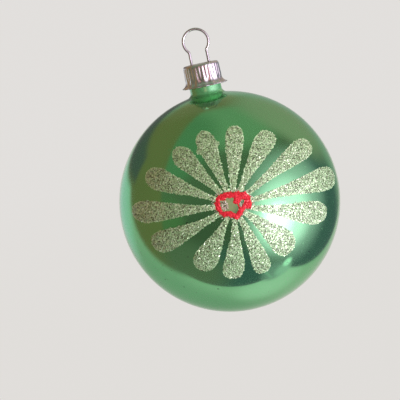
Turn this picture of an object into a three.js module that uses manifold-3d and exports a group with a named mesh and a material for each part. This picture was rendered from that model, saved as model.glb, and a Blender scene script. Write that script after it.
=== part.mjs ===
// Glass ball ornament: a thin blown-glass ball with a short neck, a stamped metal cap on the neck, a
// sprung wire hanger that clips the cap on, and a flower of 14 glitter petals painted on the front.
//
// Millimetres, +Z up. The origin is the point that the ornament hangs from, at the inside top of the
// hanger's loop. The flower faces -Y.

import * as THREE from 'three';
import { mergeVertices } from 'three/addons/utils/BufferGeometryUtils.js';
import Module from 'manifold-3d';

const wasm = await Module();
wasm.setup();

// Wire hanger
const wireRadius = 0.4;
const loopRadius = 3.8;           // of the wire's centre line
const loopBendRadius = 1.2;       // where the loop turns into the legs
const legSpacing = 5.2;           // between the two legs, where they pass through the cap
const legSpread = 6.7;            // between the two legs, where they press on the neck's bore
const legEndZ = -26;

// Cap
const capTopZ = -10;
const capHeight = 6.5;
const capSheet = 0.3;
const capRadius = 5.4;            // outside of the plain wall
const capCornerRadius = 0.7;
const skirtRadius = 6.7;          // at the tips of the scallops
const skirtHeight = 1.7;
const scallops = 16;
const scallopDepth = 0.35;
const capHoleRadius = 0.7;

// Glass ball
const ballRadius = 33.5;
const glassThickness = 0.7;
const neckRadius = 4.8;           // outside
const neckBoreRadius = 3.9;
const neckRootZ = -19.5;          // where the neck's wall would meet the ball
const neckFillet = 1.6;
const lipZ = capTopZ - capSheet - 0.3;
const ballCentreZ = neckRootZ - Math.sqrt(ballRadius ** 2 - neckRadius ** 2);

// Glitter flower. Angles at the ball's centre, in degrees, measured from the flower's centre.
const flowerElevation = 5.9;      // of the flower's centre above the ball's widest line
const glitterGap = 0.12;          // keeps the glitter clear of the faceted glass
const petalThickness = 0.4;
const petalRootWidth = 1.5;
const petalRingGap = 0.6;
const ringThickness = 0.5;
const dabThickness = 0.35;

// Each petal: its bearing clockwise from the neck, its reach, and its greatest width in millimetres.
const petals = [
  { bearing: 14, reach: 41.5, width: 5.4 },
  { bearing: 39.5, reach: 44.5, width: 6.0 },
  { bearing: 63.5, reach: 58.5, width: 6.0 },
  { bearing: 87.5, reach: 68.5, width: 6.6 },
  { bearing: 108.5, reach: 54.8, width: 6.8 },
  { bearing: 141, reach: 39.5, width: 6.8 },
  { bearing: 166.5, reach: 39, width: 5.0 },
  { bearing: 191.5, reach: 39, width: 5.8 },
  { bearing: 217.5, reach: 38, width: 6.8 },
  { bearing: 253.5, reach: 50.2, width: 6.6 },
  { bearing: 276.5, reach: 59, width: 6.2 },
  { bearing: 300.5, reach: 51.3, width: 6.2 },
  { bearing: 325.5, reach: 42.6, width: 5.8 },
  { bearing: 349.5, reach: 42.3, width: 5.8 },
];

// The red ring's outer edge and hole, as reaches every 45 degrees clockwise from the neck.
const ringEdge = [7.0, 8.3, 8.6, 7.0, 7.1, 6.7, 8.8, 7.8];
const holeEdge = [3.9, 2.6, 2.5, 3.2, 3.6, 5.0, 6.2, 5.6];
const dab = { bearing: 284, distance: 3.7, halfWidth: 0.95, halfHeight: 1.25 };

const glassFinish = new THREE.MeshStandardMaterial({ color: 0x2f7a4a, roughness: 0.04, metalness: 0.6 });
const glitterFinish = new THREE.MeshStandardMaterial({ color: 0xb9cdb4, roughness: 0.35, metalness: 0.5 });
const redFinish = new THREE.MeshStandardMaterial({ color: 0xd92546, roughness: 0.35, metalness: 0.3 });
const capFinish = new THREE.MeshStandardMaterial({ color: 0xc9cacc, roughness: 0.25, metalness: 1 });
const wireFinish = new THREE.MeshStandardMaterial({ color: 0xb4b6b8, roughness: 0.3, metalness: 1 });

const radians = THREE.MathUtils.degToRad;
const { lerp, smoothstep } = THREE.MathUtils;

// A geometry with only its positions left and its shared vertices merged, so that it is closed.
function closed(geometry) {
  geometry.deleteAttribute('normal');
  geometry.deleteAttribute('uv');
  const merged = mergeVertices(geometry, 1e-4);
  return merged.index ? dropSlivers(merged) : merged;
}

// Takes out the triangles that have two corners at one vertex, as those at a lathe's axis do.
function dropSlivers(geometry) {
  const kept = [];
  const corners = geometry.index.array;
  for (let i = 0; i < corners.length; i += 3) {
    const [a, b, c] = corners.slice(i, i + 3);
    if (a !== b && b !== c && c !== a) kept.push(a, b, c);
  }
  geometry.setIndex(kept);
  geometry.computeVertexNormals();
  return geometry;
}

// Moves every vertex of a geometry to the place that the function gives for it.
function bend(geometry, place) {
  const position = geometry.attributes.position;
  const vertex = new THREE.Vector3();
  for (let i = 0; i < position.count; i += 1) {
    vertex.fromBufferAttribute(position, i);
    vertex.copy(place(vertex));
    position.setXYZ(i, vertex.x, vertex.y, vertex.z);
  }
  return geometry;
}

// A solid of revolution about Z from a profile of (radius, z) points.
function revolve(profile, segments) {
  const geometry = new THREE.LatheGeometry(profile, segments);
  geometry.rotateX(Math.PI / 2);
  return closed(geometry);
}

function solidOf(geometry) {
  return new wasm.Manifold(new wasm.Mesh({
    numProp: 3,
    vertProperties: new Float32Array(geometry.attributes.position.array),
    triVerts: new Uint32Array(geometry.index.array),
  }));
}

function geometryOf(solid) {
  const mesh = solid.getMesh();
  const geometry = new THREE.BufferGeometry();
  geometry.setAttribute('position', new THREE.BufferAttribute(mesh.vertProperties, 3));
  geometry.setIndex(new THREE.BufferAttribute(mesh.triVerts, 1));
  geometry.computeVertexNormals();
  return geometry;
}

// The ball's own group has its origin at the ball's centre.
const ornament = new THREE.Group();
const ball = new THREE.Group();
ball.position.z = ballCentreZ;
ornament.add(ball);

function add(parent, name, geometry, material) {
  const mesh = new THREE.Mesh(geometry, material);
  mesh.name = name;
  parent.add(mesh);
}

// Wire hanger: an omega loop, two straight legs through the cap, and a spread inside the neck.
function hangerGeometry() {
  const loopZ = -(loopRadius - wireRadius);
  const legX = legSpacing / 2;
  const spreadX = legSpread / 2;
  const bendX = legX + loopBendRadius;
  const bendDrop = Math.sqrt((loopRadius + loopBendRadius) ** 2 - bendX ** 2);
  const turn = Math.atan2(bendDrop, bendX);
  const spreadTopZ = capTopZ - 1.1;
  const spreadEndZ = capTopZ - 3.3;
  const middleZ = (spreadTopZ + spreadEndZ) / 2;

  const line = new THREE.Path();
  line.moveTo(spreadX, legEndZ);
  line.lineTo(spreadX, spreadEndZ);
  line.bezierCurveTo(spreadX, middleZ, legX, middleZ, legX, spreadTopZ);
  line.lineTo(legX, loopZ - bendDrop);
  line.absarc(bendX, loopZ - bendDrop, loopBendRadius, Math.PI, Math.PI - turn, true);
  line.absarc(0, loopZ, loopRadius, -turn, Math.PI + turn, false);
  line.absarc(-bendX, loopZ - bendDrop, loopBendRadius, turn, 0, true);
  line.lineTo(-legX, spreadTopZ);
  line.bezierCurveTo(-legX, middleZ, -spreadX, middleZ, -spreadX, spreadEndZ);
  line.lineTo(-spreadX, legEndZ);

  const route = line.getSpacedPoints(100).map((point) => new THREE.Vector3(point.x, 0, point.y));
  const section = new THREE.Shape();
  const sides = 10;
  for (let i = 0; i < sides; i += 1) {
    const angle = (2 * Math.PI * i) / sides;
    const [x, y] = [wireRadius * Math.cos(angle), wireRadius * Math.sin(angle)];
    if (i === 0) section.moveTo(x, y);
    else section.lineTo(x, y);
  }
  section.closePath();
  return closed(new THREE.ExtrudeGeometry(section, {
    extrudePath: new THREE.CatmullRomCurve3(route),
    steps: 110,
    bevelEnabled: false,
  }));
}

// Cap: a stamped cup with a fluted wall that flares into a scalloped skirt.
function capGeometry() {
  const rimZ = capTopZ - capHeight;
  const skirtTopZ = rimZ + skirtHeight;
  const outside = new THREE.Path();
  outside.moveTo(0, capTopZ);
  outside.lineTo(capRadius - capCornerRadius, capTopZ);
  outside.absarc(capRadius - capCornerRadius, capTopZ - capCornerRadius, capCornerRadius, Math.PI / 2, 0, true);
  outside.lineTo(capRadius, skirtTopZ);
  outside.quadraticCurveTo(capRadius, rimZ + 0.5, skirtRadius, rimZ);
  const outer = outside.getPoints(3);
  const inner = outer.map((point, i) => {
    if (i === 0) return new THREE.Vector2(0, capTopZ - capSheet);
    const before = outer[i - 1];
    const after = outer[Math.min(i + 1, outer.length - 1)];
    const inward = new THREE.Vector2(after.y - before.y, before.x - after.x).setLength(capSheet);
    return point.clone().add(inward);
  });
  const profile = [...outer, ...inner.reverse()].reverse();
  const shell = revolve(profile, scallops * 4);
  const scalloped = bend(shell, (vertex) => {
    const angle = Math.atan2(vertex.y, vertex.x);
    const down = smoothstep(-vertex.z, -capTopZ + capCornerRadius, -rimZ);
    const wave = scallopDepth * (0.35 * Math.min(1, 4 * down) + 0.65 * down);
    const radius = Math.hypot(vertex.x, vertex.y);
    const change = radius < 1e-6 || down === 0 ? 1 : 1 + (wave * 0.5 * Math.cos(scallops * angle)) / radius;
    return new THREE.Vector3(vertex.x * change, vertex.y * change, vertex.z);
  });

  let solid = solidOf(scalloped);
  for (const side of [-1, 1]) {
    const drill = new THREE.CylinderGeometry(capHoleRadius, capHoleRadius, 3, 20);
    drill.rotateX(Math.PI / 2);
    drill.translate((side * legSpacing) / 2, 0, capTopZ);
    solid = solid.subtract(solidOf(closed(drill)));
  }
  return geometryOf(solid);
}

// Glass ball: one blown skin, from the bottom up the outside, over the lip and down the inside.
function ballGeometry() {
  const lip = lipZ - ballCentreZ;
  const innerRadius = ballRadius - glassThickness;
  const filletX = neckRadius + neckFillet;
  const filletY = Math.sqrt((ballRadius + neckFillet) ** 2 - filletX ** 2);
  const filletTurn = Math.atan2(filletY, filletX);
  const rim = (neckRadius - neckBoreRadius) / 2;

  const outside = new THREE.Path();
  outside.absarc(0, 0, ballRadius, -Math.PI / 2, filletTurn, false);
  const skin = outside.getPoints(12);
  const neck = new THREE.Path();
  neck.absarc(filletX, filletY, neckFillet, Math.PI + filletTurn, Math.PI, true);
  neck.lineTo(neckRadius, lip - rim);
  neck.absarc(neckRadius - rim, lip - rim, rim, 0, Math.PI, false);
  neck.lineTo(neckBoreRadius, Math.sqrt(innerRadius ** 2 - neckBoreRadius ** 2));
  const inside = new THREE.Path();
  const inset = Math.acos(neckBoreRadius / innerRadius);
  inside.absarc(0, 0, innerRadius, inset, -Math.PI / 2, true);
  const profile = [...skin, ...neck.getPoints(3), ...inside.getPoints(8)];
  profile[0].x = 0;
  profile.at(-1).x = 0;
  const points = profile.filter((point, i) => i === 0 || point.distanceTo(profile[i - 1]) > 1e-3);
  return revolve(points, 48);
}

// The place on the ball at a bearing and a reach from the flower's centre, at a height off the glass.
// The sideways angle is measured square to the bearing.
function onBall(bearing, reach, sideways, height) {
  const forward = Math.cos(radians(reach)) * Math.cos(radians(sideways));
  const along = Math.sin(radians(reach)) * Math.cos(radians(sideways));
  const across = Math.sin(radians(sideways));
  const turn = radians(bearing);
  const right = along * Math.sin(turn) + across * Math.cos(turn);
  const up = along * Math.cos(turn) - across * Math.sin(turn);
  const place = new THREE.Vector3(right, -forward, up);
  place.applyAxisAngle(new THREE.Vector3(1, 0, 0), -radians(flowerElevation));
  return place.multiplyScalar(ballRadius + glitterGap + height);
}

// A closed outline's reach at any bearing, from reaches at evenly spaced bearings.
function reachAt(edge, bearing) {
  const place = ((((bearing % 360) + 360) % 360) / 360) * edge.length;
  const first = Math.floor(place) % edge.length;
  return lerp(edge[first], edge[(first + 1) % edge.length], smoothstep(place - Math.floor(place), 0, 1));
}

// A petal is a slab bent over the ball: narrow at its root, widest near its rounded tip.
function petalGeometry({ bearing, reach, width }) {
  const millimetre = 180 / Math.PI / ballRadius;
  const root = reachAt(ringEdge, bearing) + petalRingGap * millimetre;
  const slab = new THREE.BoxGeometry(2, 1, 1, 4, 12, 1);
  return closed(bend(slab, ({ x, y, z }) => {
    const along = y + 0.5;
    const swell = lerp(petalRootWidth, width, Math.sin((Math.PI / 2) * Math.min(1, along / 0.72)));
    const tip = Math.sqrt(1 - Math.max(0, (along - 0.72) / 0.285) ** 2);
    const sideways = (x * swell * tip * millimetre) / 2;
    const top = petalThickness * (1 - 0.45 * x * x);
    return onBall(bearing, lerp(root, reach, along), sideways, (z + 0.5) * top);
  }));
}

// The red ring is a flat band between its hole and its edge, bent over the ball.
function ringGeometry() {
  const corners = [[1, 0], [0.5, 0], [0, 0], [0, 1], [0.33, 1], [0.66, 1], [1, 1], [1, 0]];
  const profile = corners.map(([across, up]) => new THREE.Vector2(1 + across, up));
  const band = new THREE.LatheGeometry(profile, 40);
  return closed(bend(band, ({ x, y, z }) => {
    const bearing = THREE.MathUtils.radToDeg(Math.atan2(x, z));
    const across = Math.hypot(x, z) - 1;
    const reach = lerp(reachAt(holeEdge, bearing), reachAt(ringEdge, bearing), across);
    const crown = 1 - 0.6 * (2 * across - 1) ** 2;
    return onBall(bearing, reach, 0, y * ringThickness * crown);
  }));
}

// The dab is a low round blob of glitter inside the ring.
function dabGeometry() {
  const crown = [[0, 0], [0.55, 0], [1, 0], [0.95, 0.5], [0.55, 0.9], [0, 1]];
  const disc = new THREE.LatheGeometry(crown.map(([x, y]) => new THREE.Vector2(x, y)), 20);
  const centre = onBall(dab.bearing, dab.distance, 0, 0).normalize();
  const right = new THREE.Vector3(0, 0, 1).cross(centre).normalize();
  const up = new THREE.Vector3().crossVectors(centre, right);
  return closed(bend(disc, ({ x, y, z }) => {
    const flat = right.clone().multiplyScalar(dab.halfWidth * x).addScaledVector(up, -dab.halfHeight * z);
    const place = flat.addScaledVector(centre, ballRadius);
    return place.setLength(ballRadius + glitterGap + y * dabThickness);
  }));
}

add(ornament, 'wire_hanger', hangerGeometry(), wireFinish);
add(ornament, 'cap', capGeometry(), capFinish);
add(ball, 'glass_ball', ballGeometry(), glassFinish);
petals.forEach((petal, i) => {
  add(ball, `petal_${String(i + 1).padStart(2, '0')}`, petalGeometry(petal), glitterFinish);
});
add(ball, 'centre_ring', ringGeometry(), redFinish);
add(ball, 'centre_dab', dabGeometry(), glitterFinish);

export default ornament;
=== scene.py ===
"""Glass ball ornament: the looks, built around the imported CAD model.

A silvered glass ball under clear green lacquer, with a flower of glitter petals on the front, a stamped
metal cap and a wire hanger. Everything is in metres, +Z up, and the flower faces -Y.
"""

import math

import bmesh
import bpy
import numpy as np
from mathutils import Matrix, Vector
from mathutils.geometry import delaunay_2d_cdt


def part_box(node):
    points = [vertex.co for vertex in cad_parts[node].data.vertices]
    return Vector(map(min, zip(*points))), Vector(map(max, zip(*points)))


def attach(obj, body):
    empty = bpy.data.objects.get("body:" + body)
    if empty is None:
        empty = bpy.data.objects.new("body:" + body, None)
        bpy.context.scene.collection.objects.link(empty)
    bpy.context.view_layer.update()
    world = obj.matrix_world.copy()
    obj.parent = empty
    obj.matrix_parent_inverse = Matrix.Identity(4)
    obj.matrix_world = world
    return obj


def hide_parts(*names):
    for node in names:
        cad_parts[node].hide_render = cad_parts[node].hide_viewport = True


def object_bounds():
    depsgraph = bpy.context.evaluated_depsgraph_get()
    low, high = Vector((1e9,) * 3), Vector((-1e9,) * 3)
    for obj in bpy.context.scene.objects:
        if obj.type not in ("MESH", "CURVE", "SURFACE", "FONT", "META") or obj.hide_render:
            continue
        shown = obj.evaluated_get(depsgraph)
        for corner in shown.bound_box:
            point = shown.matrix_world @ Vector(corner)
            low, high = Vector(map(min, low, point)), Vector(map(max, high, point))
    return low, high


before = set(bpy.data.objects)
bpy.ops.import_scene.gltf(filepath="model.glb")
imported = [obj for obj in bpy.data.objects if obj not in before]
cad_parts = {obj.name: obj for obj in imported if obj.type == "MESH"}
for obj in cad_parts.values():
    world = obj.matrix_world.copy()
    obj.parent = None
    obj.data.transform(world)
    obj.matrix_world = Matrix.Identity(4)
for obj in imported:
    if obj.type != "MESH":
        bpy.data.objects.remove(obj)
cad_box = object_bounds()

MM = 0.001
BALL_RADIUS = 33.5 * MM
GLASS_THICKNESS = 0.7 * MM
NECK_RADIUS = 4.8 * MM
NECK_BORE_RADIUS = 3.9 * MM
NECK_ROOT = 19.5 * MM             # below the hanging point
NECK_FILLET = 1.6 * MM
LIP_DROP = 10.6 * MM              # below the hanging point
CAP_TOP = 10 * MM                 # below the hanging point
CAP_HEIGHT = 6.5 * MM
CAP_SHEET = 0.3 * MM
CAP_RADIUS = 5.4 * MM
CAP_CORNER = 0.7 * MM
CAP_HOLE_RADIUS = 0.7 * MM
SKIRT_RADIUS = 6.7 * MM
SKIRT_HEIGHT = 1.7 * MM
SCALLOPS = 16
SCALLOP_DEPTH = 0.35 * MM
FLUTES = 32
FLUTE_DEPTH = 0.14 * MM
WIRE_RADIUS = 0.4 * MM
LOOP_RADIUS = 3.8 * MM            # of the wire's centre line
LOOP_BEND_RADIUS = 1.2 * MM
LEG_SPACING = 5.2 * MM
LEG_SPREAD = 6.7 * MM
LEG_END = 26 * MM                 # below the hanging point
FLOWER_ELEVATION = math.radians(5.9)

ball_low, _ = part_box("glass_ball")
CENTRE = np.array((0.0, 0.0, ball_low.z + BALL_RADIUS))

# The flower's own axes at its centre, seen from outside the ball.
FLOWER_OUT = np.array((0.0, -math.cos(FLOWER_ELEVATION), math.sin(FLOWER_ELEVATION)))
FLOWER_RIGHT = np.array((1.0, 0.0, 0.0))
FLOWER_UP = np.array((0.0, math.sin(FLOWER_ELEVATION), math.cos(FLOWER_ELEVATION)))
DEGREE = BALL_RADIUS * math.pi / 180     # a degree at the ball's centre, along its skin

# Each petal: bearings of its root and tip clockwise from the neck, its reach from the flower's centre in
# degrees, its greatest width in mm, where along it that is, how square its tip is (2 is round), and how late
# it swells. A spur is a small bump on its sides, as a share of its width there.
PETALS = [
    dict(root=12, tip=14, reach=41.4, width=5.1, shoulder=0.74, square=2.6, grow=0.9),
    dict(root=36, tip=40, reach=43.6, width=5.8, shoulder=0.78, square=2.5, grow=1.1),
    dict(root=62, tip=64.5, reach=58.2, width=6.0, shoulder=0.78, square=2.4, grow=1.3),
    dict(root=87, tip=87.5, reach=69.2, width=6.8, shoulder=0.78, square=2.3, grow=1.2),
    dict(root=110, tip=108, reach=55.2, width=6.7, shoulder=0.76, square=2.2, grow=1.1),
    dict(root=135, tip=140.5, reach=39.6, width=7.3, shoulder=0.76, square=2.3, grow=1.1),
    dict(root=164, tip=167, reach=39.4, width=5.1, shoulder=0.8, square=3.0, grow=0.9),
    dict(root=188, tip=192.5, reach=38.9, width=6.1, shoulder=0.76, square=2.6, grow=1.7),
    dict(root=217, tip=218.8, reach=38.2, width=6.8, shoulder=0.74, square=2.2, grow=1.4),
    dict(root=250, tip=254.5, reach=50.0, width=6.5, shoulder=0.78, square=2.3, grow=1.4),
    dict(root=275, tip=277.5, reach=59.6, width=6.4, shoulder=0.74, square=2.1, grow=1.2),
    dict(root=300, tip=301, reach=51.0, width=6.4, shoulder=0.76, square=2.2, grow=1.5),
    dict(root=325, tip=325.5, reach=42.4, width=5.8, shoulder=0.76, square=2.1, grow=1.2),
    dict(root=347, tip=349, reach=41.8, width=5.5, shoulder=0.76, square=2.2, grow=1.2, spur=0.35),
]
PETAL_ROOT_WIDTH = 1.3 * MM
PETAL_THICKNESS = 0.26 * MM
ROOT_GAP = 0.2                    # degrees between the ring's edge and a petal's root
LEAN_FROM = 8                     # degrees from the flower's centre, where the petals start to lean
SPUR_PLACE = 0.7                  # share of the petal's length
SPUR_LENGTH = 0.035
GRAIN_OVERHANG = 0.12 * MM        # how far the loose grains reach past a painted edge

# The red ring's lumpy edge, its hole and a slit beside the hole, and the dab in the hole: points (right, up)
# in degrees from the flower's centre.
RING_EDGE = [
    (-2.6, 6.5), (-0.6, 6.4), (1.2, 5.6), (3.6, 6.0), (4.6, 5.0), (6.7, 4.9), (7.9, 3.4), (8.5, 1.0),
    (8.6, -0.8), (7.4, -3.0), (5.2, -3.0), (2.9, -5.2), (0, -7.0), (-1.5, -5.6), (-3.5, -4.7),
    (-5.8, -4.3), (-7.7, -1.6), (-8.6, 0.8), (-8.0, 3.7), (-5.9, 5.9),
]
RING_HOLE = [
    (-5.9, 3.3), (-4.1, 3.1), (-2.1, 3.8), (0.7, 3.2), (0.0, 1.1), (1.8, -0.4), (1.9, -2.3), (0.3, -4.2),
    (-1.7, -2.7), (-5.4, -2.0), (-6.2, 0.1),
]
RING_SLIT = [(5.4, 1.5), (5.1, 0.1), (3.3, -1.5), (2.5, -0.7), (3.0, 0.3), (4.1, 1.6)]
DAB_EDGE = [(-5.3, 2.5), (-3.4, 2.2), (-2.7, 0.4), (-3.4, -1.3), (-5.0, -1.1), (-5.5, 0.8)]
RING_THICKNESS = 0.34 * MM
DAB_THICKNESS = 0.6 * RING_THICKNESS

# The glitter itself: a crust of facets with flakes lying on it.
CRUST_LOWEST = 0.03 * MM
CRUST_FOOT = 0.004 * MM           # its underside, off the glass
CRUST_ROUGHNESS = 0.09 * MM
FLAKE_THICKNESS = 0.028 * MM
FLAKE_LIFT = 0.08 * MM            # the most that a flake stands off the crust
PAINTED_SHADE_SHARE = 0.14                 # of the flakes, painted dark as painted shade for flakes that face away from the light
STRAY_HEIGHT = 0.06 * MM          # of the flakes past a stroke's edge
GRAIN_HEIGHT = 0.2 * MM           # of the loose grains around the ring


# ---------------------------------------------------------------- meshes

def new_object(name, data):
    """A new object that holds the data, linked into the scene."""
    made = bpy.data.objects.new(name, data)
    bpy.context.scene.collection.objects.link(made)
    return made


def new_mesh(name, points, faces, materials):
    """A mesh of points and faces, with its materials."""
    mesh = bpy.data.meshes.new(name)
    mesh.from_pydata(np.asarray(points).tolist(), [], faces)
    for material in materials:
        mesh.materials.append(material)
    return mesh


def stand_for(piece, body, node):
    """Makes a piece ride on a body in place of a CAD node, which it hides."""
    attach(piece, body)
    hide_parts(node)


class Solid:
    """Vertices and faces being gathered for one mesh, with a glint, from dark to bright, for each face."""

    def __init__(self, seed):
        self.random = np.random.RandomState(seed)
        self.points = []
        self.faces = []
        self.glints = []
        self.count = 0

    def add(self, points, faces, glints):
        """Adds a closed part, whose faces number its own points from 0."""
        self.points.append(np.asarray(points, float))
        self.faces.extend([[i + self.count for i in face] for face in faces])
        self.glints.extend(glints)
        self.count += len(points)

    def to_object(self, name, material):
        """The gathered mesh as an object, with the glints in its colour attribute."""
        mesh = new_mesh(name, np.vstack(self.points), self.faces, [material])
        sizes = [len(face) for face in self.faces]
        shades = np.repeat(np.asarray(self.glints, np.float32), sizes)
        colours = np.stack([shades, shades, shades, np.ones_like(shades)], axis=1)
        layer = mesh.color_attributes.new("glint", "FLOAT_COLOR", "CORNER")
        layer.data.foreach_set("color", colours.ravel())
        mesh.update()
        return new_object(name, mesh)


def bands(rings, count, first=0):
    """Faces between successive rings of count points each, numbered from first."""
    following = [(i + 1) % count for i in range(count)]
    faces = []
    for row in range(rings - 1):
        a = first + row * count
        b = a + count
        faces.extend((a + i, b + i, b + following[i], a + following[i]) for i in range(count))
    return faces


def lathe(name, profile, segments, materials, inner_from):
    """A closed solid of revolution about Z. The profile of (radius, z) starts and ends on the axis.
    Faces from profile point inner_from onwards take the second material."""
    turns = np.arange(segments) * 2 * math.pi / segments
    around = np.stack([np.cos(turns), np.sin(turns), np.zeros(segments)], 1)
    rings = [around * radius + (0, 0, z) for radius, z in profile[1:-1]]
    start, end = [(0, 0, profile[0][1])], [(0, 0, profile[-1][1])]
    points = np.vstack([start, *rings, end])
    last = len(points) - 1
    following = [(i + 1) % segments for i in range(segments)]
    faces = [(0, 1 + following[i], 1 + i) for i in range(segments)]
    faces += [(a, d, c, b) for a, b, c, d in bands(len(rings), segments, 1)]
    faces += [(last - segments + i, last - segments + following[i], last) for i in range(segments)]
    mesh = new_mesh(name, points, faces, materials)
    rows = np.repeat(np.arange(len(rings) + 1), segments)
    mesh.polygons.foreach_set("material_index", (rows >= inner_from).astype(int).tolist())
    mesh.shade_smooth()
    return new_object(name, mesh)


def arc(centre, radius, start, end, count):
    """Points (radius, z) along an arc, its ends included. Angles are in radians from +X towards +Z."""
    turns = np.linspace(start, end, count)
    return [(centre[0] + radius * math.cos(t), centre[1] + radius * math.sin(t)) for t in turns]


def on_ball(bearing, reach, sideways, height):
    """Places on the ball for arrays of degrees and of heights off the glass in metres."""
    turn, away, side = np.radians(bearing), np.radians(reach), np.radians(sideways)
    ahead = np.cos(away) * np.cos(side)
    along = np.sin(away) * np.cos(side)
    across = np.sin(side)
    right = along * np.sin(turn) + across * np.cos(turn)
    up = along * np.cos(turn) - across * np.sin(turn)
    out = np.outer(ahead, FLOWER_OUT) + np.outer(right, FLOWER_RIGHT) + np.outer(up, FLOWER_UP)
    return CENTRE + (BALL_RADIUS + np.broadcast_to(height, ahead.shape))[:, None] * out


def resample(loop, spacing):
    """A closed loop's points, evenly spaced along it."""
    closed = np.vstack([loop, loop[:1]])
    steps = np.hypot(*np.diff(closed, axis=0).T)
    distance = np.concatenate([[0], np.cumsum(steps)])
    wanted = np.linspace(0, distance[-1], max(8, int(round(distance[-1] / spacing))), endpoint=False)
    return np.stack([np.interp(wanted, distance, closed[:, k]) for k in (0, 1)], 1)


def inside(points, loop):
    """Which points lie inside a closed loop."""
    x, y = points[:, 0, None], points[:, 1, None]
    x1, y1 = loop[:, 0], loop[:, 1]
    x2, y2 = np.roll(x1, -1), np.roll(y1, -1)
    level = (y1 > y) != (y2 > y)
    crossing = (x2 - x1) * (y - y1) / np.where(y2 == y1, 1e-12, y2 - y1) + x1
    return (np.sum(level & (x < crossing), axis=1) % 2).astype(bool)


def between(points, loops):
    """Which points lie inside the first loop and outside the others."""
    keep = inside(points, loops[0])
    for hole in loops[1:]:
        keep &= ~inside(points, hole)
    return keep


def edge_distance(points, loops):
    """Each point's distance to the nearest of the loops."""
    best = np.full(len(points), np.inf)
    for loop in loops:
        step = np.roll(loop, -1, axis=0) - loop
        away = points[:, None, :] - loop[None]
        share = np.clip(np.sum(away * step, -1) / np.maximum(np.sum(step * step, -1), 1e-12), 0, 1)
        gap = away - share[..., None] * step
        best = np.minimum(best, np.sqrt(np.sum(gap * gap, -1)).min(1))
    return best


def scatter(loops, spacing, random, margin):
    """Jittered points inside the first loop and outside the others, at least margin from any edge."""
    low, high = loops[0].min(0), loops[0].max(0)
    xs = np.arange(low[0], high[0], spacing)
    ys = np.arange(low[1], high[1], spacing * math.sqrt(3) / 2)
    grid = np.array([(x + (row % 2) * spacing / 2, y) for row, y in enumerate(ys) for x in xs])
    grid += random.uniform(-0.33, 0.33, grid.shape) * spacing
    grid = grid[between(grid, loops)]
    return grid[edge_distance(grid, loops) > margin]


def fill(loops, inner):
    """Triangles inside the first loop and outside the others, through the inner points as well: the points
    that they use, and each triangle's corners, anticlockwise."""
    edges, first = [], 0
    for loop in loops:
        edges.extend((first + i, first + (i + 1) % len(loop)) for i in range(len(loop)))
        first += len(loop)
    points = [Vector(point) for point in np.vstack(loops + [inner])]
    flat, _, triangles, *_ = delaunay_2d_cdt(points, edges, [], 0, 1e-6)
    flat = np.array([tuple(point) for point in flat])
    triangles = np.array([tuple(t) for t in triangles if len(t) == 3])
    triangles = triangles[between(flat[triangles].mean(1), loops)]
    a, b, c = (flat[triangles[:, k]] for k in range(3))
    turn = (b[:, 0] - a[:, 0]) * (c[:, 1] - a[:, 1]) - (b[:, 1] - a[:, 1]) * (c[:, 0] - a[:, 0])
    triangles[turn < 0] = triangles[turn < 0][:, ::-1]
    triangles = triangles[np.abs(turn) > 1e-9]
    used, triangles = np.unique(triangles, return_inverse=True)
    return flat[used], triangles.reshape(-1, 3)


def relief(flat, loops, thickness, spacing):
    """The crust's height at flat points: low at its edges, level inside."""
    rise = 1 - np.exp(-edge_distance(flat, loops) / (0.6 * spacing))
    return thickness * (0.25 + 0.6 * rise)


def crust(solid, loops, place, thickness, facet, ragged):
    """A closed low relief of small random facets inside the loops, which are in degrees on the ball.
    place turns flat points and heights into places on the ball."""
    random = solid.random
    spacing = facet / DEGREE
    loops = [resample(loop, spacing) for loop in loops]
    loops = [loop + random.normal(0, ragged, loop.shape) * spacing for loop in loops]
    flat, triangles = fill(loops, scatter(loops, spacing, random, spacing * 0.55))
    count = len(flat)
    top = relief(flat, loops, thickness, spacing) + random.uniform(-1, 1, count) * CRUST_ROUGHNESS
    top = np.maximum(top, CRUST_LOWEST)
    foot = np.full(count, CRUST_FOOT)
    sides = dict.fromkeys((t[k], t[(k + 1) % 3]) for t in triangles for k in range(3))
    rim = [(p, q) for p, q in sides if (q, p) not in sides]
    faces = [tuple(t) for t in triangles] + [tuple(t[::-1] + count) for t in triangles]
    faces += [(q, p, p + count, q + count) for p, q in rim]
    glints = list(0.05 + 0.65 * random.beta(0.7, 1.5, len(triangles)))
    glints += [0.1] * (len(triangles) + len(rim))
    solid.add(np.vstack([place(flat, top), place(flat, foot)]), faces, glints)


def flakes(solid, loops, place, thickness, spacing, sizes, tilt, ragged):
    """Glitter flakes lying on a crust, some just past its outer edge."""
    random = solid.random
    spacing = spacing / DEGREE
    edges = resample(loops[0], spacing * 0.8)
    edges += random.normal(0, ragged, edges.shape) * spacing
    spots = np.vstack([scatter(loops, spacing, random, 0.1 * spacing), edges])
    height = relief(spots, loops, thickness, spacing)
    height[~inside(spots, loops[0])] = STRAY_HEIGHT
    height += random.uniform(0, 1, len(spots)) * FLAKE_LIFT
    lay_flakes(solid, place(spots, height), sizes, tilt)


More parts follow.
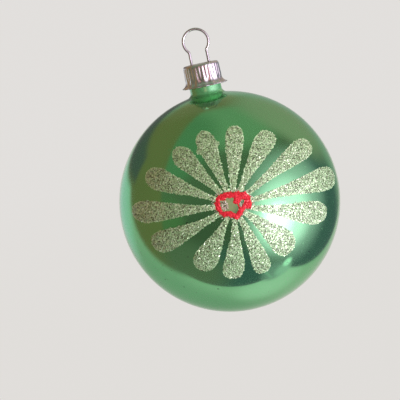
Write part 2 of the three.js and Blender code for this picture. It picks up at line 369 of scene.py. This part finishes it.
def lay_flakes(solid, centre, sizes, tilt):
    """Small closed six-sided flakes at places on the ball, each at its own tilt and turn. sizes are the least
    and the greatest distance from a flake's middle to its corners."""
    random = solid.random
    count = len(centre)
    normal = (centre - CENTRE) / np.linalg.norm(centre - CENTRE, axis=1, keepdims=True)
    side = np.cross(normal, FLOWER_UP)
    side /= np.linalg.norm(side, axis=1, keepdims=True)
    other = np.cross(normal, side)
    lean = np.abs(random.normal(0, tilt, count)).clip(0, 2.2 * tilt)[:, None]
    way = random.uniform(0, 2 * math.pi, count)[:, None]
    facing = normal * np.cos(lean) + (side * np.cos(way) + other * np.sin(way)) * np.sin(lean)
    u = np.cross(facing, other)
    u /= np.linalg.norm(u, axis=1, keepdims=True)
    v = np.cross(facing, u)
    radius = random.uniform(*sizes, count)[:, None]
    spin = random.uniform(0, math.pi / 3, count)[:, None]
    corners = []
    for level in (FLAKE_THICKNESS / 2, -FLAKE_THICKNESS / 2):
        for k in range(6):
            angle = spin + k * math.pi / 3
            corners.append(centre + facing * level + radius * (u * np.cos(angle) + v * np.sin(angle)))
    points = np.stack(corners, 1).reshape(-1, 3)
    plate = [tuple(range(6)), tuple(range(11, 5, -1))]
    plate += [(6 + k, 6 + (k + 1) % 6, (k + 1) % 6, k) for k in range(6)]
    faces = [tuple(12 * i + corner for corner in face) for i in range(count) for face in plate]
    # Painted shade: a share of the flakes is painted dark, standing for flakes that face away from the light.
    dark = random.uniform(0, 1, count) < PAINTED_SHADE_SHARE
    shades = np.where(dark, 0.1, 0.5) + 0.5 * random.beta(1.1, 1, count)
    solid.add(points, faces, np.repeat(shades, len(plate)))


# ---------------------------------------------------------------- materials

class Graph:
    """A node tree being built. Its calls take numbers, colours, vectors and other nodes' outputs alike."""

    def __init__(self, tree):
        self.nodes = tree.nodes
        self.links = tree.links

    def put(self, node, name, value):
        """Sets or links one input of a node."""
        socket = node.inputs[name]
        if isinstance(value, bpy.types.NodeSocket):
            self.links.new(value, socket)
        elif socket.type == "RGBA":
            socket.default_value = (*value, 1)
        else:
            socket.default_value = value

    def add(self, kind, inputs=None, **settings):
        """A new node with its settings and inputs."""
        node = self.nodes.new(kind)
        for name, value in settings.items():
            setattr(node, name, value)
        for name, value in (inputs or {}).items():
            self.put(node, name, value)
        return node

    def place(self, scale=(1, 1, 1)):
        """The object's own coordinates, stretched by a scale for each axis."""
        own = self.add("ShaderNodeTexCoord").outputs["Object"]
        return self.add("ShaderNodeMapping", {"Vector": own, "Scale": scale}).outputs["Vector"]

    def noise(self, vector, scale, detail=3.0):
        """Soft noise between 0 and 1."""
        inputs = {"Vector": vector, "Scale": scale, "Detail": detail}
        return self.add("ShaderNodeTexNoise", inputs).outputs["Fac"]

    def ramp(self, factor, stops):
        """A colour from the stops, which are in rising order."""
        node = self.add("ShaderNodeValToRGB", {"Fac": factor})
        elements = node.color_ramp.elements
        for place, _ in stops[1:-1]:
            elements.new(place)
        for element, (place, colour) in zip(elements, stops):
            element.position = place
            element.color = (*colour, 1)
        return node.outputs["Color"]

    def spread(self, value, low, high, to_low, to_high, way="LINEAR"):
        """The range from low to high spread over another range."""
        inputs = {"Value": value, "From Min": low, "From Max": high, "To Min": to_low, "To Max": to_high}
        return self.add("ShaderNodeMapRange", inputs, interpolation_type=way).outputs["Result"]

    def maths(self, operation, a, b):
        """An operation on two values."""
        return self.add("ShaderNodeMath", {0: a, 1: b}, operation=operation).outputs[0]

    def mix(self, below, mask, colour):
        """A colour laid over another where the mask is 1."""
        inputs = {"Factor": mask, "A": below, "B": colour}
        return self.add("ShaderNodeMix", inputs, data_type="RGBA").outputs["Result"]

    def bump(self, height, strength, distance):
        """The surface's normal, tilted by a height."""
        inputs = {"Height": height, "Strength": strength, "Distance": distance}
        return self.add("ShaderNodeBump", inputs).outputs["Normal"]


class Surface(Graph):
    """A material's node tree, around its Principled shader."""

    def __init__(self, name):
        self.material = bpy.data.materials.new(name)
        self.material.use_nodes = True
        super().__init__(self.material.node_tree)

    def finish(self, inputs):
        """Sets the shader's inputs, and gives the material."""
        for name, value in inputs.items():
            self.put(self.nodes["Principled BSDF"], name, value)
        return self.material


def lacquered_glass():
    """Silvered glass seen through clear green lacquer: a tinted mirror under a clear coat. The lacquer has
    haze and scuffs along the neck's axis, faint smudges and a few specks, and the glass has slight waves."""
    glass = Surface("lacquered_glass")
    place = glass.place()
    tint = glass.ramp(glass.noise(place, 45), [(0.3, (0.165, 0.56, 0.235)), (0.7, (0.2, 0.62, 0.27))])
    cells = glass.add("ShaderNodeTexVoronoi", {"Vector": place, "Scale": 300})
    near = glass.spread(cells.outputs["Distance"], 0.06, 0.09, 1, 0)
    here = glass.spread(glass.noise(place, 75, 1), 0.52, 0.56, 0, 1)
    specks = glass.maths("MULTIPLY", near, here)
    haze = glass.spread(glass.noise(glass.place((1, 1, 0.15)), 7000, 1), 0.6, 0.66, 0, 0.3)
    scuffs = glass.spread(glass.noise(glass.place((1, 1, 0.16)), 900, 2), 0.7, 0.73, 0, 0.45)
    smudges = glass.spread(glass.noise(place, 90, 4), 0.5, 0.7, 0.02, 0.08)
    # Up the neck the silver film gives out, and the lacquer lies on bare green glass.
    up = glass.add("ShaderNodeSeparateXYZ", {0: place}).outputs["Z"]
    fade = (-NECK_ROOT - 2.2 * MM, -NECK_ROOT + 0.5 * MM)
    rough = glass.spread(up, *fade, 0, 0.22)
    for marks in (haze, scuffs, smudges):
        rough = glass.maths("MAXIMUM", rough, marks)
    return glass.finish({
        "Base Color": glass.mix(tint, specks, (0.02, 0.08, 0.04)),
        "Roughness": rough,
        "Metallic": glass.spread(up, *fade, 1, 0.4),
        "Normal": glass.bump(glass.noise(place, 65, 1), 1, 0.07 * MM),
        "Specular Tint": (0.35, 0.7, 0.42),
        "Coat Weight": 1,
        "Coat Roughness": 0.16,
        "Coat IOR": 1.7,
    })


def silvering():
    """The bare silver film inside the glass."""
    film = Surface("silvering")
    cloud = film.noise(film.place(), 120)
    return film.finish({
        "Base Color": film.ramp(cloud, [(0.3, (0.55, 0.56, 0.55)), (0.7, (0.8, 0.81, 0.8))]),
        "Roughness": film.spread(cloud, 0.3, 0.7, 0.1, 0.3),
        "Metallic": 1,
    })


def ball_normal(surface):
    """The ball's own outward direction at each place, whatever way the facets there face."""
    away = surface.add("ShaderNodeVectorMath", {0: surface.place(), 1: tuple(CENTRE)}, operation="SUBTRACT")
    turned = surface.add("ShaderNodeVectorTransform", {0: away.outputs[0]}, vector_type="NORMAL")
    turned.convert_from = "OBJECT"
    turned.convert_to = "WORLD"
    return turned.outputs[0]


def glitter(name, stops, metallic, glue=0.0):
    """Glitter whose flakes each have their own shade, some of them painted dark as painted shade, under a
    clear coat of glue where glue is above 0.
    """
    flake = Surface(name)
    glint = flake.add("ShaderNodeVertexColor", layer_name="glint").outputs["Color"]
    inputs = {
        "Base Color": flake.ramp(glint, stops),
        "Roughness": flake.spread(glint, 0, 1, 0.5, 0.22),
        "Metallic": metallic,
    }
    if glue > 0:
        inputs["Coat Weight"] = glue
        inputs["Coat Roughness"] = 0.3
        inputs["Coat Normal"] = ball_normal(flake)
    return flake.finish(inputs)


def bright_metal(name, colour, rough, scale, grain):
    """Bright metal with slight tarnish, and fine grain drawn out by the scale for each axis."""
    metal = Surface(name)
    cloud = metal.noise(metal.place(), 260)
    dull = tuple(0.72 * c for c in colour)
    lines = metal.noise(metal.place(scale), grain)
    return metal.finish({
        "Base Color": metal.ramp(cloud, [(0.3, dull), (0.6, colour)]),
        "Roughness": metal.spread(lines, 0.3, 0.7, rough * 0.7, rough * 1.5),
        "Metallic": 1,
        "Normal": metal.bump(lines, 0.15, 0.02 * MM),
    })


LACQUER = lacquered_glass()
SILVER = silvering()
PETAL_GLITTER = glitter("petal_glitter", metallic=0.35, glue=0.85, stops=[
    (0.0, (0.03, 0.06, 0.025)),
    (0.25, (0.15, 0.185, 0.1)),
    (0.45, (0.32, 0.48, 0.26)),
    (0.7, (0.5, 0.74, 0.41)),
    (1.0, (0.86, 1.0, 0.74)),
])
RING_GLITTER = glitter("ring_glitter", metallic=0.15, stops=[
    (0.0, (0.3, 0.0, 0.0)),
    (0.25, (0.72, 0.006, 0.025)),
    (1.0, (0.86, 0.04, 0.07)),
])
DAB_GLITTER = glitter("dab_glitter", metallic=0.5, stops=[
    (0.0, (0.1, 0.12, 0.05)),
    (0.4, (0.22, 0.22, 0.12)),
    (0.65, (0.6, 0.5, 0.43)),
    (1.0, (0.95, 0.85, 0.8)),
])
CAP_METAL = bright_metal("cap_metal", (0.74, 0.74, 0.74), 0.27, (1, 1, 0.2), 900)
WIRE_METAL = bright_metal("wire_metal", (0.68, 0.69, 0.7), 0.25, (1, 1, 0.05), 3000)


# ---------------------------------------------------------------- glass ball

def make_ball():
    """The blown ball with its fillet, neck and rounded lip, and the silvered hollow inside."""
    inner = BALL_RADIUS - GLASS_THICKNESS
    fillet_x = NECK_RADIUS + NECK_FILLET
    fillet_z = math.sqrt((BALL_RADIUS + NECK_FILLET) ** 2 - fillet_x ** 2)
    meet = math.atan2(fillet_z, fillet_x)
    lip = -LIP_DROP - CENTRE[2]
    rim = (NECK_RADIUS - NECK_BORE_RADIUS) / 2
    middle = (NECK_RADIUS + NECK_BORE_RADIUS) / 2
    mouth = math.acos(NECK_BORE_RADIUS / inner)
    profile = arc((0, 0), BALL_RADIUS, -math.pi / 2, meet, 120)
    profile += arc((fillet_x, fillet_z), NECK_FILLET, math.pi + meet, math.pi, 8)[1:]
    profile += arc((middle, lip - rim), rim, 0, math.pi, 9)
    inner_from = len(profile) - 2
    profile += arc((0, 0), inner, mouth, -math.pi / 2, 60)
    profile = [(max(r, 0.0), z + CENTRE[2]) for r, z in profile]
    ball = lathe("lacquered_ball", profile, 240, [LACQUER, SILVER], inner_from)
    stand_for(ball, "ball", "glass_ball")


# ---------------------------------------------------------------- glitter flower

def rounded(corners, steps=10):
    """A smooth closed loop through the corners."""
    here = np.asarray(corners, float)
    p0, p1, p2, p3 = (np.roll(here, shift, axis=0)[:, None, :] for shift in (1, 0, -1, -2))
    t = np.linspace(0, 1, steps, endpoint=False)[None, :, None]
    curve = p1 + t / 2 * (p2 - p0)
    curve = curve + t * t * (p0 - 2.5 * p1 + 2 * p2 - p3 / 2)
    curve = curve + t ** 3 / 2 * (3 * (p1 - p2) + p3 - p0)
    return curve.reshape(-1, 2)


def petal_loop(petal):
    """A petal's outline as (sideways, reach) in degrees. It starts just outside the ring's edge."""
    turn = math.radians(petal["root"])
    edge = rounded(RING_EDGE)
    outward = edge @ np.array((math.sin(turn), math.cos(turn)))
    sideways = np.abs(edge @ np.array((math.cos(turn), -math.sin(turn))))
    ahead = sideways < 1.5
    root_reach = float(outward[ahead].max()) + ROOT_GAP
    length = petal["reach"] - root_reach
    root = PETAL_ROOT_WIDTH / DEGREE
    width = petal["width"] * MM / DEGREE
    rise = np.linspace(0, 1, 30)
    eased = rise * rise * (3 - 2 * rise)
    swell = root + (width - root) * (0.5 * rise ** petal["grow"] + 0.5 * eased)
    turns = np.linspace(0, math.pi / 2, 24)[1:]
    power = 2 / petal["square"]
    tip_along = petal["shoulder"] + (1 - petal["shoulder"]) * np.sin(turns) ** power
    tip_width = width * np.cos(turns).clip(0) ** power
    share = np.concatenate([rise * petal["shoulder"], tip_along])
    along = share * length + root_reach
    half = np.concatenate([swell, tip_width]) / 2
    half *= 1 + petal.get("spur", 0) * np.exp(-((share - SPUR_PLACE) / SPUR_LENGTH) ** 2)
    half = np.maximum(half - GRAIN_OVERHANG / DEGREE, 0)
    right = np.stack([half, along], 1)
    left = np.stack([-half[-2::-1], along[-2::-1]], 1)
    return np.vstack([right, left])


def make_petal(number, petal):
    """One stroke of pale green glitter glue."""
    def place(flat, height):
        """Places for flat points (sideways, reach) in degrees along the petal, which may lean to one side."""
        share = ((flat[:, 1] - LEAN_FROM) / (petal["reach"] - LEAN_FROM)).clip(0, 1)
        bearing = petal["root"] + (petal["tip"] - petal["root"]) * share
        return on_ball(bearing, flat[:, 1], flat[:, 0], height)

    solid = Solid(200 + number)
    loops = [petal_loop(petal)]
    crust(solid, loops, place, PETAL_THICKNESS, facet=0.27 * MM, ragged=0.2)
    sizes = (0.14 * MM, 0.25 * MM)
    flakes(solid, loops, place, PETAL_THICKNESS, spacing=0.4 * MM, sizes=sizes, tilt=0.32, ragged=0.22)
    node = f"petal_{number:02d}"
    stand_for(solid.to_object(f"{node}_glitter", PETAL_GLITTER), "ball", node)


def flower_disc(flat, height):
    """Places for flat points (right, up) in degrees about the flower's centre."""
    reach = np.hypot(flat[:, 0], flat[:, 1])
    bearing = np.degrees(np.arctan2(flat[:, 0], flat[:, 1]))
    return on_ball(bearing, reach, np.zeros(len(flat)), height)


def make_ring():
    """The red ring, a lumpy stroke of glitter glue with a hole and a slit."""
    ring = Solid(50)
    loops = [rounded(corners) for corners in (RING_EDGE, RING_HOLE, RING_SLIT)]
    crust(ring, loops, flower_disc, RING_THICKNESS, facet=0.27 * MM, ragged=0.42)
    sizes = (0.12 * MM, 0.21 * MM)
    flakes(ring, loops, flower_disc, RING_THICKNESS, spacing=0.36 * MM, sizes=sizes, tilt=0.25, ragged=0.4)
    stand_for(ring.to_object("centre_ring_glitter", RING_GLITTER), "ball", "centre_ring")


def make_dab():
    """The silver dab in the ring's hole, with loose grains in the slit and around the ring."""
    dab = Solid(51)
    loops = [rounded(DAB_EDGE)]
    crust(dab, loops, flower_disc, DAB_THICKNESS, facet=0.24 * MM, ragged=0.2)
    sizes = (0.12 * MM, 0.2 * MM)
    flakes(dab, loops, flower_disc, DAB_THICKNESS, spacing=0.38 * MM, sizes=sizes, tilt=0.3, ragged=0.3)
    in_slit = scatter([rounded(RING_SLIT)], 0.36 * MM / DEGREE, dab.random, 0.1)
    around = resample(1.12 * rounded(RING_EDGE), 0.6)
    loose = np.vstack([in_slit, around])
    loose += dab.random.normal(0, 0.25, loose.shape)
    places = flower_disc(loose, np.full(len(loose), GRAIN_HEIGHT))
    lay_flakes(dab, places, sizes=(0.1 * MM, 0.18 * MM), tilt=0.3)
    stand_for(dab.to_object("centre_dab_glitter", DAB_GLITTER), "ball", "centre_dab")


# ---------------------------------------------------------------- cap and hanger

CAP_SEGMENTS = SCALLOPS * 20
HOLE_SEGMENTS = 32
BEAD_HEIGHT = 0.16 * MM           # of the pressed bead around each wire hole
CORNER_Z = -CAP_TOP - CAP_CORNER
RIM_Z = -CAP_TOP - CAP_HEIGHT
SKIRT_TOP_Z = RIM_Z + SKIRT_HEIGHT


def metal_piece(name, points, faces, material):
    """A metal piece with smooth shading and crisp edges."""
    mesh = new_mesh(name, points, faces, [material])
    mesh.shade_smooth()
    mesh.set_sharp_from_angle(angle=math.radians(40))
    return new_object(name, mesh)


def wire_distance(flat):
    """Flat points' distances to the centre of the nearer wire."""
    return np.minimum(*(np.hypot(flat[:, 0] - side * LEG_SPACING / 2, flat[:, 1]) for side in (1, -1)))


def cap_crown(turns):
    """The cap's top with its two wire holes: flat points, triangles and how far each point is raised. The
    rim's points come first, then the holes'."""
    radius = CAP_RADIUS - CAP_CORNER
    rim = radius * np.stack([np.cos(turns), np.sin(turns)], 1)
    angles = np.linspace(0, 2 * math.pi, HOLE_SEGMENTS, endpoint=False)
    circle = CAP_HOLE_RADIUS * np.stack([np.cos(angles), np.sin(angles)], 1)
    wires = [(side * LEG_SPACING / 2, 0) for side in (1, -1)]
    holes = [circle + wire for wire in wires]
    beads = [circle * scale + wire for wire in wires for scale in (1.2, 1.4, 1.6)]
    rings = [rim[::8] * scale for scale in (0.97, 0.92, 0.86)] + [rim[::16] * 0.45, rim[::32] * 0.2]
    loose = np.vstack(rings)
    loose = loose[wire_distance(loose) > 1.8 * CAP_HOLE_RADIUS]
    flat, triangles = fill([loop / MM for loop in [rim] + holes], np.vstack(beads + [loose]) / MM)
    flat = flat * MM
    bead = np.exp(-((wire_distance(flat) / CAP_HOLE_RADIUS - 1.25) / 0.28) ** 2)
    dish = -0.5 * (1 - (np.hypot(flat[:, 0], flat[:, 1]) / radius) ** 2)
    return flat, triangles, BEAD_HEIGHT * (bead + dish)


def cap_section():
    """The cap's sheet in section as (radius, z): down the outside from the crown, and up the inside."""
    outer = arc((CAP_RADIUS - CAP_CORNER, CORNER_Z), CAP_CORNER, math.pi / 2, 0, 9)
    outer += [(CAP_RADIUS, z) for z in np.linspace(CORNER_Z, SKIRT_TOP_Z, 14)[1:]]
    for t in np.linspace(0, 1, 10)[1:]:
        across = CAP_RADIUS + t * t * (SKIRT_RADIUS - CAP_RADIUS)
        down = (1 - t) ** 2 * SKIRT_TOP_Z + 2 * t * (1 - t) * (RIM_Z + 0.5 * MM) + t * t * RIM_Z
        outer.append((across, down))
    outer = np.array(outer)
    tangent = np.gradient(outer, axis=0)
    tangent /= np.linalg.norm(tangent, axis=1, keepdims=True)
    inner = outer + np.stack([tangent[:, 1], -tangent[:, 0]], 1) * CAP_SHEET
    edge = (outer[-1] + inner[-1]) / 2 + tangent[-1] * CAP_SHEET * 0.35
    return np.vstack([outer, edge, inner[::-1]])


def cap_shell(section, turns):
    """The section carried round, with the wall's flutes and the skirt's scallops pressed into it."""
    levels = section[:, 1:]
    down = ((CORNER_Z - levels) / (CAP_HEIGHT - CAP_CORNER)).clip(0, 1)
    down = down * down * (3 - 2 * down)
    scallop = SCALLOP_DEPTH / 2 * (0.15 * np.minimum(1, 4 * down) + 0.85 * down ** 2)
    below_corner = ((-CAP_TOP - CAP_CORNER * 0.6 - levels) / (0.6 * MM)).clip(0, 1)
    above_skirt = ((levels - SKIRT_TOP_Z) / (0.7 * MM)).clip(0, 1)
    flute = FLUTE_DEPTH / 2 * below_corner * above_skirt
    radius = section[:, :1] + scallop * np.cos(SCALLOPS * turns) + flute * np.cos(FLUTES * turns)
    heights = np.broadcast_to(levels, radius.shape)
    return np.stack([radius * np.cos(turns), radius * np.sin(turns), heights], 2).reshape(-1, 3)


def make_cap():
    """A stamped cap: a dished top with two beaded wire holes, a fluted wall and a scalloped skirt."""
    turns = np.arange(CAP_SEGMENTS) * 2 * math.pi / CAP_SEGMENTS
    section = cap_section()
    points = list(cap_shell(section, turns))
    faces = bands(len(section), CAP_SEGMENTS)
    flat, triangles, raised = cap_crown(turns)
    # The crown's rim is the shell's first row above and its last row below. Its other points are new.
    upper = list(range(CAP_SEGMENTS))
    lower = list(range(len(points) - CAP_SEGMENTS, len(points)))
    for (x, y), lift in zip(flat[CAP_SEGMENTS:], raised[CAP_SEGMENTS:]):
        upper.append(len(points))
        lower.append(len(points) + 1)
        points.append((x, y, lift - CAP_TOP))
        points.append((x, y, lift - CAP_TOP - CAP_SHEET))
    faces.extend(tuple(upper[k] for k in triangle) for triangle in triangles)
    faces.extend(tuple(lower[k] for k in triangle[::-1]) for triangle in triangles)
    for first in (CAP_SEGMENTS, CAP_SEGMENTS + HOLE_SEGMENTS):
        for i in range(HOLE_SEGMENTS):
            a, b = first + i, first + (i + 1) % HOLE_SEGMENTS
            faces.append((upper[a], upper[b], lower[b], lower[a]))
    stand_for(metal_piece("stamped_cap", points, faces, CAP_METAL), "cap", "cap")


def hanger_line():
    """The wire's centre line as (x, z) points from one leg's end to the other's."""
    loop_z = -(LOOP_RADIUS - WIRE_RADIUS)
    leg_x, spread_x = LEG_SPACING / 2, LEG_SPREAD / 2
    bend_x = leg_x + LOOP_BEND_RADIUS
    bend_z = loop_z - math.sqrt((LOOP_RADIUS + LOOP_BEND_RADIUS) ** 2 - bend_x ** 2)
    turn = math.atan2(loop_z - bend_z, bend_x)
    spread_top, spread_end = -CAP_TOP - 1.1 * MM, -CAP_TOP - 3.3 * MM
    line = [(spread_x, z) for z in np.linspace(-LEG_END, spread_end, 20)]
    for t in np.linspace(0, 1, 24)[1:]:
        ease = t * t * (3 - 2 * t)
        line.append((spread_x + (leg_x - spread_x) * ease, spread_end + (spread_top - spread_end) * t))
    line += [(leg_x, z) for z in np.linspace(spread_top, bend_z, 20)[1:]]
    line += arc((bend_x, bend_z), LOOP_BEND_RADIUS, math.pi, math.pi - turn, 14)[1:]
    line += arc((0, loop_z), LOOP_RADIUS, -turn, math.pi / 2, 60)[1:]
    return line + [(-x, z) for x, z in line[-2::-1]]


def make_hanger():
    """One piece of spring wire swept along its line, its ends slightly rounded where they were cut."""
    line = np.array(hanger_line())
    ahead = np.gradient(line, axis=0)
    ahead /= np.linalg.norm(ahead, axis=1, keepdims=True)
    steps = np.array([[0], [0.04], [0.1]]) * MM
    line = np.vstack([line[0] + ahead[0] * steps, line[1:-1], line[-1] - ahead[-1] * steps[::-1]])
    ahead = np.vstack([ahead[[0, 0, 0]], ahead[1:-1], ahead[[-1, -1, -1]]])
    sizes = np.ones(len(line))
    sizes[[0, -1]] = 0.72
    sizes[[1, -2]] = 0.92
    sides = 24
    points = []
    for (x, z), (tx, tz), size in zip(line, ahead, sizes):
        for angle in np.arange(sides) * 2 * math.pi / sides:
            out = WIRE_RADIUS * size * math.cos(angle)
            over = WIRE_RADIUS * size * math.sin(angle)
            points.append((x - tz * out, over, z + tx * out))
    start = tuple(range(sides))
    end = tuple(range(len(points) - 1, len(points) - sides - 1, -1))
    faces = [start, *bands(len(line), sides), end]
    stand_for(metal_piece("hanger_wire", points, faces, WIRE_METAL), "hanger", "wire_hanger")


# ---------------------------------------------------------------- camera, light and stage

CAMERA_DISTANCE = 0.4
CAMERA_ELEVATION = math.radians(8)
CAMERA_AZIMUTH = math.radians(-1.5)
CAMERA_ROLL = math.radians(12)
AIM_RIGHT = -9 * MM               # from the ball's centre, as the camera sees it
AIM_UP = 0.4 * MM
SENSOR = 36
LENS = 118.35
FLOOR_DROP = 90 * MM              # the ornament hangs this far above the floor
FLOOR_RADIUS = 1.4


def make_camera():
    """The camera, and its directions at the ball: to the right, up, and towards the viewer."""
    ball = Vector(CENTRE)
    toward = Vector((
        math.sin(CAMERA_AZIMUTH) * math.cos(CAMERA_ELEVATION),
        -math.cos(CAMERA_AZIMUTH) * math.cos(CAMERA_ELEVATION),
        math.sin(CAMERA_ELEVATION),
    ))
    place = ball + toward * CAMERA_DISTANCE
    level_right = Vector((0, 0, 1)).cross(toward).normalized()
    level_up = toward.cross(level_right)
    # The ornament leans to the left, so the camera turns the same way to see it lean.
    right = level_right * math.cos(CAMERA_ROLL) - level_up * math.sin(CAMERA_ROLL)
    up = level_up * math.cos(CAMERA_ROLL) + level_right * math.sin(CAMERA_ROLL)
    aim = ball + right * AIM_RIGHT + up * AIM_UP
    back = (place - aim).normalized()
    side = up.cross(back).normalized()
    data = bpy.data.cameras.new("camera")
    data.lens = LENS
    data.sensor_width = SENSOR
    camera = new_object("camera", data)
    turned = Matrix((side, back.cross(side), back)).transposed().to_4x4()
    camera.matrix_world = Matrix.Translation(place) @ turned
    bpy.context.scene.camera = camera
    return right, up, toward


RIGHT, UP, TOWARD = make_camera()


def direction(azimuth, elevation):
    """A direction in degrees: azimuth 0 is from the ball to the viewer, 90 is to the viewer's right."""
    a, e = math.radians(azimuth), math.radians(elevation)
    level = RIGHT * math.sin(a) + TOWARD * math.cos(a)
    return (level * math.cos(e) + UP * math.sin(e)).normalized()


class Studio(Graph):
    """The world's node tree, with masks that are 1 in some directions from the ball and 0 in the others."""

    def __init__(self, tree):
        super().__init__(tree)
        self.nodes.clear()
        self.way = self.add("ShaderNodeTexCoord").outputs["Generated"]

    def dot(self, vector):
        """How far each direction goes along a vector."""
        node = self.add("ShaderNodeVectorMath", {0: self.way, 1: vector}, operation="DOT_PRODUCT")
        return node.outputs["Value"]

    def step(self, value, low, high):
        """A soft step up from 0 at low to 1 at high."""
        return self.spread(value, low, high, 0, 1, "SMOOTHSTEP")

    def lobe(self, azimuth, elevation, radius, softness):
        """A round patch about a direction, its radius and the softness of its edge given in degrees."""
        low = math.cos(math.radians(min(180, radius + softness)))
        high = math.cos(math.radians(max(0, radius - softness)))
        return self.step(self.dot(direction(azimuth, elevation)), low, high)

    def card(self, azimuth, elevation, half_width, half_height, softness):
        """A flat rectangle square to a direction, its half sizes and softness given in degrees."""
        out = direction(azimuth, elevation)
        side = UP.cross(out).normalized()
        depth = self.maths("MAXIMUM", self.dot(out), 1e-3)
        soft = math.tan(math.radians(softness))
        mask = self.step(self.dot(out), 0, 0.05)
        for axis, half in ((side, half_width), (out.cross(side), half_height)):
            slope = self.maths("ABSOLUTE", self.maths("DIVIDE", self.dot(axis), depth), 0)
            edge = math.tan(math.radians(half))
            mask = self.maths("MULTIPLY", mask, self.step(slope, edge + soft, edge - soft))
        return mask

    def within(self, edges):
        """What lies inside several straight edges: each one's inward normal as the viewer sees it, to the
        right, up and towards the viewer, and its softness in degrees."""
        mask = 1
        for right, up, toward, softness in edges:
            inward = (RIGHT * right + UP * up + TOWARD * toward).normalized()
            soft = math.sin(math.radians(softness))
            mask = self.maths("MULTIPLY", mask, self.step(self.dot(inward), -soft, soft))
        return mask

    def layered(self, colour, layers):
        """A colour with other colours laid over it in turn, each through its mask."""
        for mask, over in layers:
            colour = self.mix(colour, mask, over)
        return colour


def make_world():
    """What the glass mirrors: a dim room, a white sheet behind and below the ornament, and a window on the
    right. The camera itself sees a plain pale background."""
    world = bpy.data.worlds.new("studio")
    bpy.context.scene.world = world
    world.use_nodes = True
    studio = Studio(world.node_tree)
    lobe, card = studio.lobe, studio.card
    room = studio.layered((0.2, 0.185, 0.14), [
        (lobe(115, -10, 42, 14), (0.14, 0.17, 0.21)),       # bluish shade on the right
        (lobe(-25, -42, 34, 14), (0.15, 0.14, 0.11)),       # shade in front, on the left and below
        (lobe(10, -84, 32, 16), (0.12, 0.16, 0.19)),
        (lobe(0, 88, 32, 12), (0.34, 0.4, 0.29)),           # the ceiling
        (lobe(-80, 44, 34, 10), (0.21, 0.3, 0.2)),          # green shade on the left
        (lobe(-66, -14, 15, 8), (0.2, 0.24, 0.14)),
        (lobe(-135, 2, 61, 2.5), (0.34, 0.22, 0.12)),       # something large and warm beside the sheet
        (lobe(-78, -60, 22, 16), (0.26, 0.22, 0.18)),
        (lobe(-2, -3, 9, 5), (1.3, 0.52, 0.52)),            # a warm glow from where the viewer stands
        (lobe(172, 22, 30, 10), (0.42, 0.46, 0.42)),        # behind the ornament, above the sheet
        (lobe(-164, 50, 15, 8), (0.42, 0.25, 0.17)),
        (card(-145, 20, 28, 9, 4), (0.16, 0.135, 0.155)),
        (lobe(138, 46, 24, 10), (0.55, 0.42, 0.36)),
    ])
    sheet = studio.layered((0.7, 0.67, 0.63), [
        (lobe(-155, -38, 26, 16), (0.46, 0.49, 0.44)),
        (lobe(-142, 0, 12, 12), (0.75, 0.82, 0.92)),
        (lobe(126, -58, 14, 14), (0.95, 0.87, 0.88)),
    ])
    sheet_mask = studio.within([
        (0.536, -0.176, -0.826, 5),
        (-0.747, -0.571, -0.339, 1.5),
        (-0.242, 0, -0.97, 1.5),
        (0, 0.14, -0.99, 1.5),
        (0, -0.978, -0.208, 3),
    ])
    colour = studio.layered(room, [
        (sheet_mask, sheet),
        (lobe(62, -4, 36, 24), (1.12, 0.94, 1.14)),         # the wall around the window, and its curtains
        (lobe(58, -12, 22, 18), (2.5, 1.95, 2.5)),
        (lobe(52, -18, 9, 13), (4.2, 3.8, 4.3)),
        (lobe(97, -57, 9, 4), (0.45, 0.42, 0.5)),           # small bright things below the window
        (card(80, -63, 15, 1, 1), (0.6, 0.6, 0.65)),
        (lobe(104, -51, 3, 6), (0.75, 0.73, 0.8)),
        (lobe(97, -46, 1, 4), (1.5, 1.5, 1.6)),
        (card(50, -15, 5.8, 3.2, 5), (40, 40, 39)),         # the window
    ])
    mirrored = studio.add("ShaderNodeBackground", {"Color": colour})
    plain = studio.add("ShaderNodeBackground", {"Color": (0.76, 0.74, 0.72)})
    seen = studio.add("ShaderNodeLightPath").outputs["Is Camera Ray"]
    both = studio.add("ShaderNodeMixShader", {0: seen, 1: mirrored.outputs[0], 2: plain.outputs[0]})
    studio.add("ShaderNodeOutputWorld", {"Surface": both.outputs[0]})


def make_floor():
    """A plain pale floor below the ornament, which fades into the pale background."""
    bm = bmesh.new()
    bmesh.ops.create_circle(bm, cap_ends=True, segments=96, radius=FLOOR_RADIUS)
    mesh = bpy.data.meshes.new("floor")
    bm.to_mesh(mesh)
    bm.free()
    floor = new_object("floor", mesh)
    floor.location = (0, 0, cad_box[0][2] - FLOOR_DROP)
    surface = Surface("floor")
    reach = surface.add("ShaderNodeVectorMath", {0: surface.place()}, operation="LENGTH").outputs["Value"]
    mesh.materials.append(surface.finish({
        "Base Color": (0, 0, 0),
        "Specular IOR Level": 0,
        "Emission Color": (0.75, 0.73, 0.705),
        "Emission Strength": 1,
        "Alpha": surface.spread(reach, 0.5, 1.3, 1, 0),
    }))
    floor.visible_glossy = False
    floor.visible_diffuse = False
    floor.visible_shadow = False


def soft_light(name, way, distance, size, watts, colour):
    """A round area light that shines on the ball from a direction, and isn't itself seen in the glass."""
    data = bpy.data.lights.new(name, "AREA")
    data.shape = "DISK"
    data.size = size
    data.energy = watts
    data.color = colour
    light = new_object(name, data)
    light.location = Vector(CENTRE) + way * distance
    light.rotation_euler = way.to_track_quat("Z", "Y").to_euler()
    light.visible_glossy = False
    light.visible_camera = False


make_ball()
for index, petal in enumerate(PETALS, start=1):
    make_petal(index, petal)
make_ring()
make_dab()
make_cap()
make_hanger()
make_world()
make_floor()
soft_light("top_light", direction(20, 60), 1.1, 1.2, 5.1, (1, 0.79, 0.65))
soft_light("key_light", direction(45, -22), 0.9, 0.7, 4.7, (0.68, 1, 0.78))
soft_light("warm_light", direction(-80, 8), 0.9, 0.7, 0.9, (1, 0.5, 0.38))
bpy.context.scene.view_settings.view_transform = "Standard"
